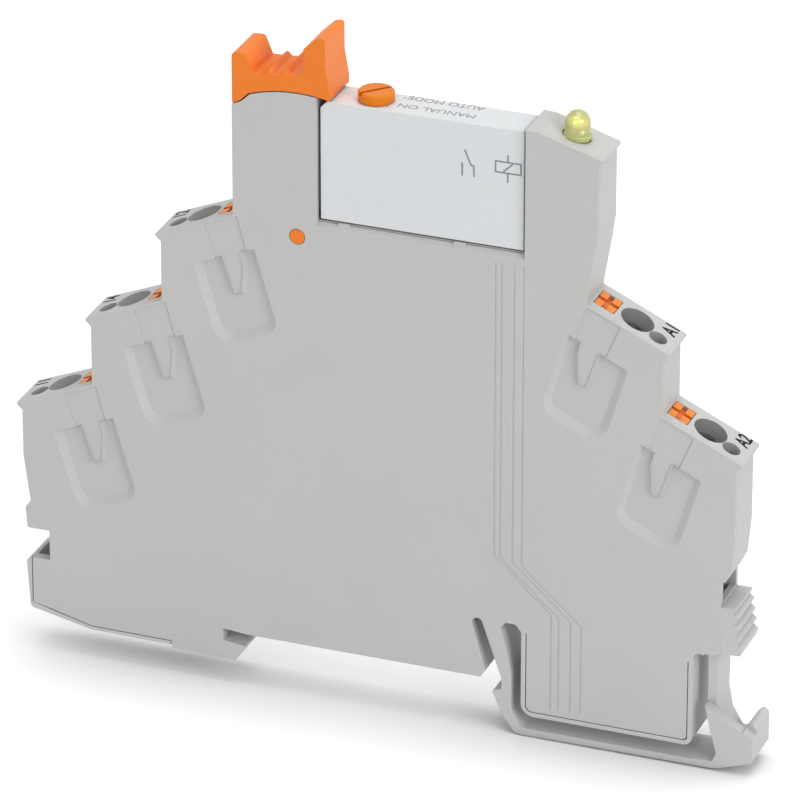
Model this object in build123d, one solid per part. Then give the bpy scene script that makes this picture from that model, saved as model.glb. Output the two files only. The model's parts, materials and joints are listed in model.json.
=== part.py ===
from build123d import *
import math
import os

# Slim plug-in relay module for a 35 mm mounting rail.
# X runs along the module, Z up from the rail, the labelled side faces -Y.
# The origin is the centre of the rail seat, halfway through the thickness. Millimetres.

# Moulded shells
body_width = 6.2          # thickness of the whole module
rear_wall = 0.6           # wall of the rear shell
cover_plate = 0.8         # plate of the side cover
rim = 0.8                 # walls that run round the rear shell
seam_gap = 0.12           # open seam where the cover is let into the shell
bearing_gap = 0.07        # radial clearance of pins in moulded holes

# Rail seat and spring foot
rail_width = 35.0
rail_flange = 1.0
rail_play = 0.5           # room beside the rail on the fixed hook
flange_play = 0.3         # room under the flange on the fixed hook
hook_reach = 3.0          # how far the fixed hook goes under the flange
hook_depth = 3.8          # lowest point of the fixed hook
hook_lead = 0.3           # the seat rises this much over the hook, so that the module tilts in
latch_reach = 1.1         # how far the spring latch goes under the flange
arm_thickness = 0.9       # bottom web of the spring foot
foot_depth = 6.8          # lowest point of the spring foot
lug_x = 48.9              # outer end of the screwdriver lug
slot_top = 7.8            # height where the spring slots end
latch_slot = 1.35         # width of the slot behind the latch strip
island_offset = 2.5       # from the rail's edge to the body's tongue inside the foot
island_right = 41.35
island_bottom = -4.15
island_inset = 0.55       # cover edge inside the tongue
neck_right = 44.0
neck_thickness = 1.1
neck_setback = 1.5        # neck and lug stand back from the front face

# Notch and finger grip above the lug
notch_wall = 44.6
notch_level = 14.8        # where the serrated grip begins
notch_top = 18.1
grip_top_x = 46.6
grip_lean = 0.18          # each serration stands this much further out
grip_pitch = 1.3
grip_ribs = 5
grip_cut = 0.45

# Left end below the terminals
base_left = -43.5
base_bottom = -3.2
block_left = -24.8        # step where the hook block begins
block_bottom = -3.6
notch_depth = 3.05
notch_floor = 5.3
notch_roof = 9.3
left_rim = 0.65           # rim that shows beside the cover

# Stepped terminals
level_step_x = 9.15
level_step_z = 12.6
left_tilt = 22.0          # slope of the left terminal faces, degrees
right_tilt = 25.0
lip_reach = 0.9           # nose that overhangs each terminal wall
lip_drop = 0.8
lip_rise = 0.25
tower_left = -16.15       # wall above the top left terminal
top_nose_left = 51.0      # nose height of the top left terminal
wall_a1 = 37.0            # wall below the upper right terminal
top_nose_right = 46.0     # nose height of the upper right terminal
head_depth = 3.2          # solid moulding under each terminal face
test_hole_at = 2.05       # distances along a terminal face, from its nose
wire_hole_at = 5.2
button_at = 9.15
test_hole_radius = 1.15
test_hole_offset = -1.0   # the test hole lies towards the labelled side
test_hole_depth = 2.6
funnel_radius = 2.1
funnel_depth = 1.5
wire_radius = 1.45
button_length = 2.6
button_width = 3.3
button_height = 5.6
button_gap = 0.08
driver_slot = 0.6
driver_slot_depth = 0.5

# Marks moulded into the cover
recess_depth = 0.55       # U recess beside each clamp
recess_top = -4.7         # below the terminal face
recess_lean = 16.5        # degrees between the sides of the recess and the upright
panel_depth = 0.12
witness_depth = 0.07
witness_width = 0.26
witness_lines = ((16.45, 23.65), (17.2, 24.6), (18.75, 26.1), (19.9, 27.4))  # x at top and foot

# Contact bars and clamp springs
bar_thickness = 0.4
bar_width = 3.6
bar_foot = 11.4           # depth of the clamp below the terminal face
spring_thickness = 0.3
spring_width = 3.0
strip_thickness = 0.3
strip_width = 1.6
strip_front = 0.25        # front face of the flat strips, along Y
strip_at = 6.5            # where the strip leaves the foot of the bar

# Relay bay and towers
bay_left = -5.65
bay_right = 20.0
bay_floor = 55.9
bay_slab = 3.0
bay_wall = 0.85
bay_chamfer = 0.6
bay_sill = 0.15           # the cover's window edge lies this much below the bay floor
rest_places = (-2.4, 11.9)  # small rests on the window edge, below the relay
rest_width = 1.4
rear_wall_top = 70.3
right_tower_top = 71.6
right_tower_nose_x = 29.5
right_tower_nose_z = 69.1
right_tower_wall = 28.9
tower_foot = 27.5         # right tower where it meets the upper right terminal

# Retaining lever
pivot_x = -8.1
pivot_z = 53.6
pin_radius = 0.93
hub_radius = 2.0
tower_radius = 18.1       # tower top is round about the pivot
shoulder_radius = 17.5    # its lower left shoulder, which the lever's foot covers
shoulder_x = -13.9
shoulder_slant = 1.1      # width of the sloped step between them
shoulder_gap = 0.25
lever_slide = 0.15        # gap between the lever head and the tower
stem_left = -9.6
stem_right = -6.85
stem_side_gap = 0.3
ejector_reach = 5.0       # from the pivot to the tip under the relay
ejector_gap = 0.05
ejector_room = 1.0        # headroom of the ejector under the bay's end wall
head_thickness = 1.8      # from the tower's top to the floor between the finger grips
head_left_rise = 2.3
head_right_rise = 5.6
nose_right = -3.95
grip_rib = 0.65

# Plug-in relay
relay_end_gap = 0.3
relay_side_gap = 0.1
relay_thickness = 5.0
relay_height = 15.0
relay_foot = 0.25
relay_wall = 0.45
relay_corner = 0.9        # bevel that lets the lever nose pass
base_height = 1.6
pin_width = 0.8
pin_thickness = 0.5
pin_length = 3.6
pin_slot_gap = 0.15
socket_gap = 0.05
contact_pins = (0.5, 3.7, 6.9)
coil_pins = (13.5, 18.1)
knob_x = 0.65
knob_radius = 2.15
knob_height = 1.2
knob_shaft = 0.9
knob_slot = 0.5
knob_slot_turn = 47      # degrees from the length of the relay

# Coil, armature and contacts
coil_left = 8.4
coil_right = 16.6
coil_height = 6.2
coil_bottom = 60.0
bobbin_flange = 0.6
bobbin_wall = 0.3
core_height = 2.6
core_width = 1.2
yoke_thickness = 0.9
yoke_width = 3.4
armature_gap = 0.45
armature_thickness = 0.8
contact_blade = 0.25
contact_radius = 0.5
contact_gap = 0.45
card_height = 0.9
card_width = 0.9
card_gap = 0.03           # play of the card at each end

# Circuit board and indicator
board_thickness = 1.0
board_back = 2.2
board_left = 9.6
board_right = 22.4
board_low = 13.5
led_x = 25.2
led_radius = 1.5
led_rise = 3.4            # above its seat on the tower
led_body = 4.2            # below its seat
led_collar = 0.6
led_flange = 0.18
lead_side = 0.45
lead_pitch = 2.54

# Worked out from the sizes above
front = -body_width / 2
back = body_width / 2
cover_back = front + cover_plate
shell_floor = back - rear_wall
rail_half = rail_width / 2
hook_wall = -rail_half - rail_play
hook_tip = hook_wall + hook_reach
flange_room = rail_flange + flange_play
latch_edge = rail_half + 0.05
latch_tip = rail_half - latch_reach
slot_edge = rail_half - 2.55
island_left = rail_half + island_offset
relay_back = shell_floor - relay_side_gap
relay_front = relay_back - relay_thickness
relay_y = (relay_back + relay_front) / 2
relay_left = bay_left + relay_end_gap
relay_right = bay_right - relay_end_gap
relay_bottom = bay_floor + relay_foot
relay_top = relay_bottom + relay_height
base_top = relay_bottom + base_height
slab_bottom = bay_floor - bay_slab
shaft_left = tower_left + rim
shaft_right = bay_left - bay_wall
tower_fall = (right_tower_top - right_tower_nose_z) / (right_tower_nose_x - bay_right)
led_seat = right_tower_top - (led_x - bay_right) * tower_fall
stem_front = cover_back + stem_side_gap
stem_back = shell_floor - stem_side_gap
head_floor = pivot_z + tower_radius + head_thickness
head_left_top = head_floor + head_left_rise
head_right_top = head_floor + head_right_rise
above_all = head_right_top + 1
board_front = board_back - board_thickness
core_left = coil_left - bobbin_flange
core_right = coil_right + bobbin_flange
coil_mid_z = coil_bottom + coil_height / 2
yoke_low = coil_bottom + coil_height + 0.3
yoke_left = core_left - armature_gap - armature_thickness
card_z = coil_mid_z + 0.4
blade_x = contact_pins[1] - 0.6
blade_low = base_top + 0.6
blade_top = relay_top - relay_wall - 1.6
contact_z = blade_top - 0.9
contact_y = relay_y - 0.55
card_y = relay_y + 0.4    # the card passes beside the fixed contacts


def rounded_face(corners):
    """Closed face in the plane of the module from (x, z) or (x, z, radius) corners."""
    count = len(corners)
    bends = []
    for i, corner in enumerate(corners):
        point = Vector(corner[0], corner[1])
        if len(corner) < 3:
            bends.append((point, point, None))
            continue
        before = (Vector(*corners[i - 1][:2]) - point).normalized()
        after = (Vector(*corners[(i + 1) % count][:2]) - point).normalized()
        half = math.radians(before.get_angle(after)) / 2
        setback = corner[2] / math.tan(half)
        middle = point + (before + after).normalized() * (corner[2] / math.sin(half) - corner[2])
        bends.append((point + before * setback, point + after * setback, middle))
    edges = []
    for i, (start, finish, middle) in enumerate(bends):
        if middle is not None:
            edges.append(ThreePointArc(start, middle, finish))
        following = bends[(i + 1) % count][0]
        if (following - finish).length > 1e-6:
            edges.append(Line(finish, following))
    return make_face(edges)


def plate(face, y_front, y_back):
    """Extrudes a face drawn in X and Z between two levels of Y."""
    return extrude(Plane.XZ.offset(-y_back) * face, amount=y_back - y_front)


def slab(x_low, x_high, y_low, y_high, z_low, z_high):
    size = (x_high - x_low, y_high - y_low, z_high - z_low)
    middle = ((x_low + x_high) / 2, (y_low + y_high) / 2, (z_low + z_high) / 2)
    return Pos(*middle) * Box(*size)


def pin_along_y(x, z, radius, y_low, y_high):
    return Pos(x, (y_low + y_high) / 2, z) * Rot(90, 0, 0) * Cylinder(radius, y_high - y_low)


def strip_face(points, width):
    """Bent strip of even width along a line of (x, z) points."""
    return make_face(offset_line(points, width))


def offset_line(points, width):
    path = [Vector(*p) for p in points]
    sides = ([], [])
    for i, point in enumerate(path):
        into = (point - path[i - 1]).normalized() if i > 0 else None
        out = (path[i + 1] - point).normalized() if i < len(path) - 1 else None
        into = into or out
        out = out or into
        across = Vector(-(into.Y + out.Y), into.X + out.X).normalized()
        reach = width / 2 / math.cos(math.radians(into.get_angle(out)) / 2)
        sides[0].append(point + across * reach)
        sides[1].append(point - across * reach)
    return Polyline(*sides[0], *reversed(sides[1]), close=True)


# Terminals

class Terminal:
    """Frame of one terminal: s runs up its face from the nose, n points out of the face."""

    def __init__(self, name, wall_x, nose_z, tilt, side):
        self.name = name
        self.wall_x = wall_x
        self.nose_z = nose_z
        self.side = side
        angle = math.radians(tilt)
        self.along = Vector(-side * math.cos(angle), math.sin(angle))
        self.out = Vector(side * math.sin(angle), math.cos(angle))
        self.nose = Vector(wall_x + side * (lip_reach - lip_drop / 2), nose_z + lip_rise)
        self.slope = math.tan(angle)

    def at(self, s, n):
        point = self.nose + self.along * s + self.out * n
        return (point.X, point.Y)

    def face_z(self, x, depth=0.0):
        """Height of the terminal face at x, or of a line that much deeper."""
        run = (self.nose.X - x) * self.side
        return self.nose.Y + run * self.slope - depth * math.hypot(1, self.slope)

    def shape(self, corners):
        return rounded_face([self.at(*c[:2]) + tuple(c[2:]) for c in corners])

    def frame(self, s, y=0.0, n=0.0):
        x, z = self.at(s, n)
        x_dir = (self.along.X, 0, self.along.Y)
        return Plane((x, y, z), x_dir=x_dir, z_dir=(self.out.X, 0, self.out.Y))


left_walls = [tower_left - level_step_x * (i + 1) for i in range(3)]
terminals = [
    Terminal("12", left_walls[0], top_nose_left, left_tilt, -1),
    Terminal("14", left_walls[1], top_nose_left - level_step_z, left_tilt, -1),
    Terminal("11", left_walls[2], top_nose_left - 2 * level_step_z, left_tilt, -1),
    Terminal("a1", wall_a1, top_nose_right, right_tilt, 1),
    Terminal("a2", wall_a1 + level_step_x, top_nose_right - level_step_z, right_tilt, 1),
]
t12, t14, t11, ta1, ta2 = terminals


def lip(terminal):
    """Outline of a terminal's nose, from its wall to its face."""
    low = (terminal.wall_x, terminal.nose_z - lip_drop)
    tip = (terminal.wall_x + terminal.side * lip_reach, terminal.nose_z, 0.3)
    return [low, tip, (terminal.nose.X, terminal.nose.Y, 0.2)]


# Outline of the shells

def tower_z(x, radius):
    """Height of a circle about the lever's pivot, at x."""
    return pivot_z + math.sqrt(radius ** 2 - (x - pivot_x) ** 2)


def shoulder_cut(gap):
    """Space above the lower shoulder of the left tower, or above the lever's foot with a gap."""
    low = Vector(shoulder_x - shoulder_slant, tower_z(shoulder_x - shoulder_slant, shoulder_radius))
    high = Vector(shoulder_x, tower_z(shoulder_x, tower_radius))
    slant = high - low
    below = low - slant * 2
    above = high + slant * 2
    cut = make_face(Polyline((tower_left - 2, below.Y), (below.X - gap, below.Y), (above.X - gap, above.Y),
                             (tower_left - 2, above.Y), close=True))
    return cut - Pos(pivot_x, pivot_z) * Circle(shoulder_radius + lever_slide * (gap > 0))


def tower_step_cut():
    """What is cut away above the round top of the left tower."""
    low = pivot_z + shoulder_radius - 5
    cut = Pos((tower_left + bay_left) / 2, (low + above_all) / 2) * Rectangle(
        bay_left - tower_left + 2, above_all - low)
    cut -= Pos(pivot_x, pivot_z) * Circle(tower_radius)
    cut -= Pos(bay_left + 5, pivot_z + tower_radius) * Rectangle(10, 30)
    return cut + shoulder_cut(0)


def grip_corners():
    """Serrated finger grip at the right end, from top to bottom."""
    corners = []
    for i in range(grip_ribs):
        tip_x = grip_top_x + grip_lean * i
        tip_z = notch_level - grip_pitch * i
        corners.append((tip_x, tip_z, 0.15))
        if i < grip_ribs - 1:
            corners.append((tip_x - grip_cut, tip_z - 0.58 * grip_pitch))
    corners.append((grip_top_x + 0.5, notch_level - (grip_ribs - 0.4) * grip_pitch))
    return corners


def outer_outline():
    """Silhouette of the housing, from the fixed hook round clockwise."""
    a2_wall = ta2.wall_x
    corners = [
        (hook_wall, hook_lead), (hook_wall, -flange_room), (hook_tip, -flange_room - 0.4, 0.2),
        (hook_tip - 1.4, -hook_depth, 0.3), (block_left, block_bottom), (block_left, base_bottom),
        (-35.2, base_bottom + 0.1, 6), (base_left + 0.4, -1.4, 0.6), (base_left, 4.8),
        (base_left + 0.7, notch_floor), (base_left + notch_depth, notch_floor),
        (base_left + notch_depth, notch_roof), (base_left + 0.2, notch_roof, 0.2),
        (base_left, 12.0), (base_left + 0.7, 13.0), (t11.wall_x, 19.0),
    ]
    for terminal in (t11, t14, t12):
        inner = terminal.wall_x + level_step_x
        corners += lip(terminal) + [(inner, terminal.face_z(inner))]
    corners += [(tower_left, above_all - 0.5), (bay_left, above_all - 0.5)]
    corners += [(bay_left, rear_wall_top), (bay_right, rear_wall_top)]
    corners += [
        (bay_right, right_tower_top), (bay_right + 1.7, right_tower_top - 0.1, 1),
        (right_tower_nose_x, right_tower_nose_z, 0.3), (right_tower_wall, right_tower_nose_z - 1),
        (right_tower_wall, 59.9, 3), (28.5, 57.0, 3), (tower_foot, ta1.face_z(tower_foot)),
    ]
    corners += reversed(lip(ta1))
    corners += [(ta1.wall_x, ta2.face_z(ta1.wall_x))]
    corners += reversed(lip(ta2))
    corners += [(a2_wall, 24, 3), (a2_wall - 0.4, 19.5, 1.5), (notch_wall + 0.5, notch_top, 0.4)]
    corners += [(notch_wall, notch_top), (notch_wall, notch_level)]
    corners += grip_corners()
    corners += [
        (neck_right, notch_level - 6.1, 0.9), (neck_right - 0.1, 1.6), (neck_right + 0.4, -1.2, 0.5),
        (neck_right + 2.0, -4.0, 0.5), (lug_x - 1.3, -1.2), (lug_x - 0.6, -0.6, 0.35),
        (lug_x, -1.2, 0.3), (lug_x, -5.1, 0.5), (44.3, -foot_depth + 0.15, 4),
        (rail_half + 1.8, -foot_depth, 1.2), (rail_half + 0.1, -4.4), (latch_tip, -rail_flange - 0.6, 0.12),
        (latch_edge, -rail_flange - 0.12), (latch_edge, 0.3),
        (slot_edge, slot_top, latch_slot / 2 - 0.02),
        (slot_edge - latch_slot, slot_top, latch_slot / 2 - 0.02),
        (rail_half - 2.0, 0.9), (rail_half - 2.6, 0), (hook_tip + 0.2, 0),
    ]
    return corners


def foot_slot():
    """Slot that frees the spring foot: down, under the tongue and up again."""
    under = -foot_depth + arm_thickness
    slot_right = neck_right - neck_thickness
    return rounded_face([
        (rail_half - 0.1, slot_top - 0.8), (rail_half + 0.5, slot_top, 0.4), (rail_half + 1.8, slot_top, 0.4),
        (island_left, slot_top - 0.9),
        (island_left, island_bottom, 1.6), (island_right, island_bottom, 1.0),
        (island_right, slot_top + 0.4, 0.7), (slot_right, slot_top + 0.4, 0.7),
        (slot_right, 1.6), (43.7, -2.0), (44.4, -4.6, 0.4), (43.9, under + 0.15),
        (41.2, under), (island_left, under, 0.8), (rail_half + 1.3, -3.6, 1.0),
        (rail_half + 1.3, 1.0), (rail_half + 0.6, 4.4),
    ])


def housing_face():
    return rounded_face(outer_outline()) - tower_step_cut() - foot_slot()


def foot_zone():
    """Area of the spring foot and grip, which the cover leaves free."""
    return rounded_face([
        (rail_half - 3.2, slot_top + 0.2), (rail_half + 1.15, slot_top + 0.2), (rail_half + 1.4, 6.0),
        (rail_half + 1.9, -3.0), (rail_half + 3.1, -5.0), (island_right + 0.75, -5.0),
        (island_right + 0.75, slot_top + 0.5), (notch_wall, slot_top + 0.5), (notch_wall, notch_top - 1.6),
        (lug_x + 3, notch_top - 1.6), (lug_x + 3, -foot_depth - 3), (rail_half - 1.5, -foot_depth - 3),
        (rail_half - 1.3, 0.6), (rail_half - 3.2, slot_top - 0.8),
    ])


def inset_zones(gap):
    """Strips of the rear shell's rim that show beside the cover."""
    left = base_left + left_rim + gap
    low = island_bottom + island_inset + gap
    island_l = island_left + island_inset + gap
    island_r = island_right - island_inset - gap
    frame = rounded_face([
        (island_left - 1, slot_top - 1), (island_l, slot_top - 1), (island_l, low, 0.8), (island_r, low, 0.5),
        (island_r, slot_top - 0.9), (island_right + 0.75, slot_top - 0.9),
        (island_right + 0.75, island_bottom - 0.95), (island_left - 1, island_bottom - 0.95),
    ])
    lower_left = rounded_face([
        (base_left - 1, notch_floor), (left, notch_floor), (left, -0.7), (left + 2.3, -1.35 + gap),
        (-35.2, base_bottom + 0.5 + gap), (block_left + gap, base_bottom + 0.45 + gap),
        (block_left + gap, -4.5), (base_left - 1, -4.5),
    ])
    return frame + lower_left


def chamber_face():
    """Hollow inside the shell, kept clear of the terminal heads."""
    inner = [t.wall_x + rim for t in (t11, t14, t12)]
    right = [ta1.wall_x - rim, ta2.wall_x - rim]
    foot_right = tower_foot - rim
    corners = [(-38.5, base_bottom + rim + 0.3), (-38.5, 10.3), (inner[0], 13.6)]
    for i, terminal in enumerate((t11, t14, t12)):
        beyond = terminal.wall_x + level_step_x + rim
        corners += [(inner[i], terminal.face_z(inner[i], head_depth))]
        corners += [(beyond, terminal.face_z(beyond, head_depth))]
    corners += [(shaft_left, slab_bottom), (foot_right, slab_bottom)]
    corners += [(foot_right, ta1.face_z(foot_right, head_depth))]
    corners += [(right[0], ta1.face_z(right[0], head_depth))]
    corners += [(right[0], ta2.face_z(right[0], head_depth)), (right[1], ta2.face_z(right[1], head_depth))]
    corners += [
        (right[1], 24), (notch_wall - rim, notch_top - 0.1), (notch_wall - rim, slot_top + 2.0),
        (island_right - rim, slot_top + 1.6), (island_right - rim, island_bottom + rim),
        (island_left + rim, island_bottom + rim), (island_left + rim, slot_top + 1.0),
        (slot_edge - latch_slot - 1.2, slot_top + 1.0), (slot_edge - 1.55, rim), (hook_wall - rim, rim),
        (hook_wall - rim, base_bottom + rim + 0.3),
    ]
    return rounded_face(corners)


def board_tower_face():
    """Hollow of the right tower."""
    top_left = right_tower_top - rim - 0.2
    return rounded_face([
        (bay_right + rim, slab_bottom - 1), (bay_right + rim, top_left),
        (right_tower_wall - rim, right_tower_nose_z - rim - 0.1), (right_tower_wall - rim, 60),
        (tower_foot - rim, slab_bottom - 1),
    ])


def post_places():
    """Posts that carry the flat strips, and the board."""
    strips = []
    for terminal in (t11, t14, t12):
        strips += strip_route(terminal)[1:3]
    return strips, [(board_left + 2, 17.0), (board_right - 2, 17.0), (board_left + 2, 48.0), (24.2, 58.0)]


def make_rear_housing():
    face = housing_face()
    shell = plate(face, front, back)
    shell -= plate(face - foot_zone() - inset_zones(0), front, cover_back)
    chamber = chamber_face()
    shell -= plate(chamber, cover_back, shell_floor)
    shell -= slab(shaft_left, shaft_right, cover_back, shell_floor, slab_bottom - 3, above_all)
    shell -= plate(board_tower_face(), cover_back, shell_floor)
    # relay bay, its pin slots and the way for the lever's ejector
    shell -= slab(bay_left, bay_right, front, shell_floor, bay_floor, above_all)
    shell -= slab(shaft_right - 0.1, pivot_x + ejector_reach + 0.25, stem_front - 0.2, stem_back + 0.2,
                  slab_bottom - 0.5, bay_floor + ejector_room)
    for x in contact_pins + coil_pins:
        half_x = pin_width / 2 + pin_slot_gap
        half_y = pin_thickness / 2 + pin_slot_gap
        shell -= slab(x - half_x, x + half_x, relay_y - half_y, relay_y + half_y,
                      slab_bottom - 1, bay_floor + 1)
    shell -= pin_along_y(pivot_x, pivot_z, pin_radius + bearing_gap, shell_floor - 1, back + 1)
    # terminal openings
    for terminal in terminals:
        deep = head_depth + 2
        wire = terminal.frame(wire_hole_at)
        shell -= wire * Pos(0, 0, -deep / 2 + 0.5) * Cylinder(wire_radius, deep + 1)
        shell -= wire * Pos(0, 0, -funnel_depth / 2) * Cone(wire_radius, funnel_radius, funnel_depth)
        test = terminal.frame(test_hole_at, test_hole_offset)
        shell -= test * Pos(0, 0, -test_hole_depth / 2 + 0.5) * Cylinder(
            test_hole_radius, test_hole_depth + 1)
        way = terminal.frame(button_at)
        shell -= way * Pos(0, 0, -deep / 2 + 0.5) * Box(
            button_length + 2 * button_gap, button_width + 2 * button_gap, deep + 1)
    # hole for the indicator lamp and its collar
    shell -= Pos(led_x, 0, led_seat) * Cylinder(led_radius + bearing_gap, 8)
    shell -= Pos(led_x, 0, led_seat + 2) * Cylinder(led_radius + led_flange + bearing_gap, 4)
    # pocket in the floor of the left notch
    shell -= slab(base_left + 1.0, base_left + notch_depth, front + 1.3, shell_floor - 0.2,
                  notch_floor - 2.5, notch_floor + 1)
    # window in the notch wall above the grip
    shell -= slab(notch_wall - rim - 0.1, notch_wall + 0.2, cover_back, shell_floor,
                  notch_level + 0.3, notch_top - 0.3)
    # neck and lug stand back behind a low front web
    ridge = [(neck_right - neck_thickness - 0.3, 1.7), (lug_x + 0.5, -2.2), (lug_x + 0.5, notch_level - 6.3),
             (neck_right - neck_thickness - 0.3, slot_top + 0.7)]
    shell -= plate(rounded_face(ridge), front - 1, front + neck_setback)
    web = rounded_face([(neck_right - neck_thickness, 1.5), (lug_x - 0.4, -1.9), (lug_x, -4.6), (44.6, -5.0)])
    shell += plate(web, front, front + neck_setback)
    strips, boards = post_places()
    for x, z in strips:
        shell += pin_along_y(x, z, 1.0, strip_front + strip_thickness, shell_floor + 0.1)
    for x, z in boards:
        shell += pin_along_y(x, z, 1.0, board_back, shell_floor + 0.1)
    return shell


# Side cover

def slanted(terminal, corners):
    """Face from terminal corners whose upright sides keep the lean of the recess."""
    lean = math.tan(math.atan(terminal.slope) - math.radians(recess_lean))
    return terminal.shape([(s + (n - recess_top) * lean, n, *bend) for s, n, *bend in corners])


def recess_faces(terminal):
    """Mouth and floor of the moulded U recess beside a clamp."""
    top = recess_top
    mouth = slanted(terminal, [
        (3.0, top), (3.0, top - 10.7, 2.4), (11.4, top - 10.7, 1.9), (11.4, top), (9.4, top),
        (9.35, top - 1.7, 1.0), (8.1, top - 4.9, 0.3), (7.2, top - 4.9, 0.35), (7.0, top),
    ])
    floor = slanted(terminal, [
        (4.0, top - 0.25), (4.0, top - 9.6, 1.6), (10.7, top - 9.6, 1.2), (10.7, top - 0.25),
        (9.8, top - 0.25),
        (9.75, top - 1.8, 1.0), (8.45, top - 5.3, 0.4), (6.9, top - 5.3, 0.4), (6.65, top - 0.25),
    ])
    return mouth, floor


def panel_face(terminal):
    """Low panel between the nose and the recess, which runs on as the tongue of the U."""
    top = recess_top
    panel = terminal.shape([(6.2, -0.3), (6.0, top), (10.3, top), (10.8, -0.3)])
    tongue = slanted(terminal, [
        (7.0, top + 0.1), (7.2, top - 4.9, 0.35), (8.1, top - 4.9, 0.3), (9.35, top - 1.7, 1.0),
        (9.4, top + 0.1),
    ])
    return panel + tongue


def groove_face(x_top, x_low):
    """One moulded witness line: down, across at an angle and down again."""
    z_bend = 16.4 - 0.2 * (x_top - 16.4)
    z_low = z_bend - (x_low - x_top) * 0.9
    points = [(x_top, 54.4), (x_top, z_bend), (x_low, z_low), (x_low, -2.6)]
    return strip_face(points, witness_width)


def make_side_cover():
    face = housing_face() - foot_zone() - inset_zones(seam_gap)
    sill = bay_floor - bay_sill
    bay_length = bay_right - bay_left
    face -= Pos((bay_left + bay_right) / 2, (sill + above_all) / 2) * Rectangle(bay_length, above_all - sill)
    cover = plate(face, front, cover_back)
    window_edge = Polyline((front - 0.1, sill - bay_chamfer - 0.1), (front - 0.1, sill + 0.1),
                           (front + bay_chamfer + 0.1, sill + 0.1), close=True)
    cover -= extrude(Plane.YZ.offset(bay_left) * make_face(window_edge), amount=bay_length)
    for x in rest_places:
        cover += slab(x - rest_width / 2, x + rest_width / 2, front + 0.3, cover_back,
                      sill - bay_chamfer, bay_floor + 0.1)
    cover -= pin_along_y(pivot_x, pivot_z, pin_radius + bearing_gap, front - 1, cover_back + 1)
    for terminal in terminals:
        mouth, floor = recess_faces(terminal)
        mouth_at = Plane.XZ.offset(-front + 0.02) * mouth
        floor_at = Plane.XZ.offset(-front - recess_depth) * floor
        cover -= loft([mouth_at, floor_at], ruled=True)
        cover -= plate(panel_face(terminal), front - 1, front + panel_depth)
    for x_top, x_low in witness_lines:
        cover -= plate(groove_face(x_top, x_low), front - 1, front + witness_depth)
    return cover


# Push-in clamps

def make_release_button(terminal):
    body = Box(button_length, button_width, button_height)
    slot_at = button_height / 2 - driver_slot_depth / 2
    body -= Pos(0, 0, slot_at) * Box(driver_slot, button_width + 1, driver_slot_depth)
    body -= Pos(0, 0, slot_at) * Box(button_length + 1, driver_slot, driver_slot_depth)
    return terminal.frame(button_at) * Pos(0, 0, -button_height / 2) * body


def make_clamp_spring(terminal):
    """Bent leaf: foot on the contact bar, loop below the button, leg across the wire."""
    half = spring_thickness / 2
    lift = -bar_foot + bar_thickness / 2 + half
    top = -button_height - 0.05 - half
    line = [(4.4, lift), (9.6, lift), (11.0, lift + 1.4), (11.0, top - 0.9), (10.1, top), (8.3, top),
            (4.35, -9.4)]
    face = strip_face([terminal.at(s, n) for s, n in line], spring_thickness)
    return plate(face, -spring_width / 2, spring_width / 2)


def bar_corners():
    """Contact bar in the terminal frame: upright against the wire, foot under the spring."""
    return [(3.6, -head_depth - 0.15), (3.6, -bar_foot), (10.2, -bar_foot)]


def strip_route(terminal):
    """Line of the flat strip from a clamp to its relay pin or to the board."""
    start = terminal.at(strip_at, -bar_foot)
    bend = terminal.at(strip_at, -bar_foot - strip_width)
    if terminal.side < 0:
        pin_x = dict(zip(("12", "14", "11"), contact_pins))[terminal.name]
        return [start, bend, (pin_x, bend[1]), (pin_x, slab_bottom - 2.5)]
    return [start, bend, (board_right - 1.3, bend[1])]


def socket_fork(x):
    """Two tines that grip a relay pin, joined below."""
    inner = pin_thickness / 2 + socket_gap
    outer = inner + strip_thickness
    half = pin_width / 2 + 0.2
    low = slab_bottom - 3.2
    fork = slab(x - half, x + half, relay_y - outer, relay_y + outer, low, slab_bottom - 0.1)
    return fork - slab(x - 2, x + 2, relay_y - inner, relay_y + inner, low + 0.4, slab_bottom + 1)


def make_busbar(terminal):
    line = [terminal.at(s, n) for s, n in bar_corners()]
    bar = plate(strip_face(line, bar_thickness), -bar_width / 2, bar_width / 2)
    route = strip_route(terminal)
    strip = plate(strip_face(route, strip_width), strip_front, strip_front + strip_thickness)
    bar += strip
    if terminal.side < 0:
        bar += socket_fork(route[-1][0])
    else:
        # lug bent back onto the board
        x, z = route[-1]
        half = strip_width / 2
        bar += slab(x - 0.8, x, strip_front, board_front, z - half, z + half)
    return bar


# Circuit board

def make_circuit_board():
    outline = rounded_face([
        (board_left, board_low), (board_right, board_low), (board_right, 49.5), (26.6, 52.5), (26.6, 62.0),
        (21.6, 62.0), (21.6, 51.0), (board_left, 51.0),
    ])
    return plate(outline, board_front, board_back)


def make_coil_socket(x):
    socket = socket_fork(x)
    inner = pin_thickness / 2 + socket_gap
    low = slab_bottom - 3.2
    socket += slab(x - 0.5, x + 0.5, relay_y + inner, board_front, low - 0.6, low + 0.2)
    return socket


def make_status_led():
    dome_z = led_seat + led_rise - led_radius
    body_low = led_seat - led_body
    body = Pos(led_x, 0, (body_low + dome_z) / 2) * Cylinder(led_radius, dome_z - body_low)
    body += Pos(led_x, 0, dome_z) * Sphere(led_radius)
    body += Pos(led_x, 0, led_seat + led_collar / 2) * Cylinder(led_radius + led_flange, led_collar)
    return body


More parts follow.
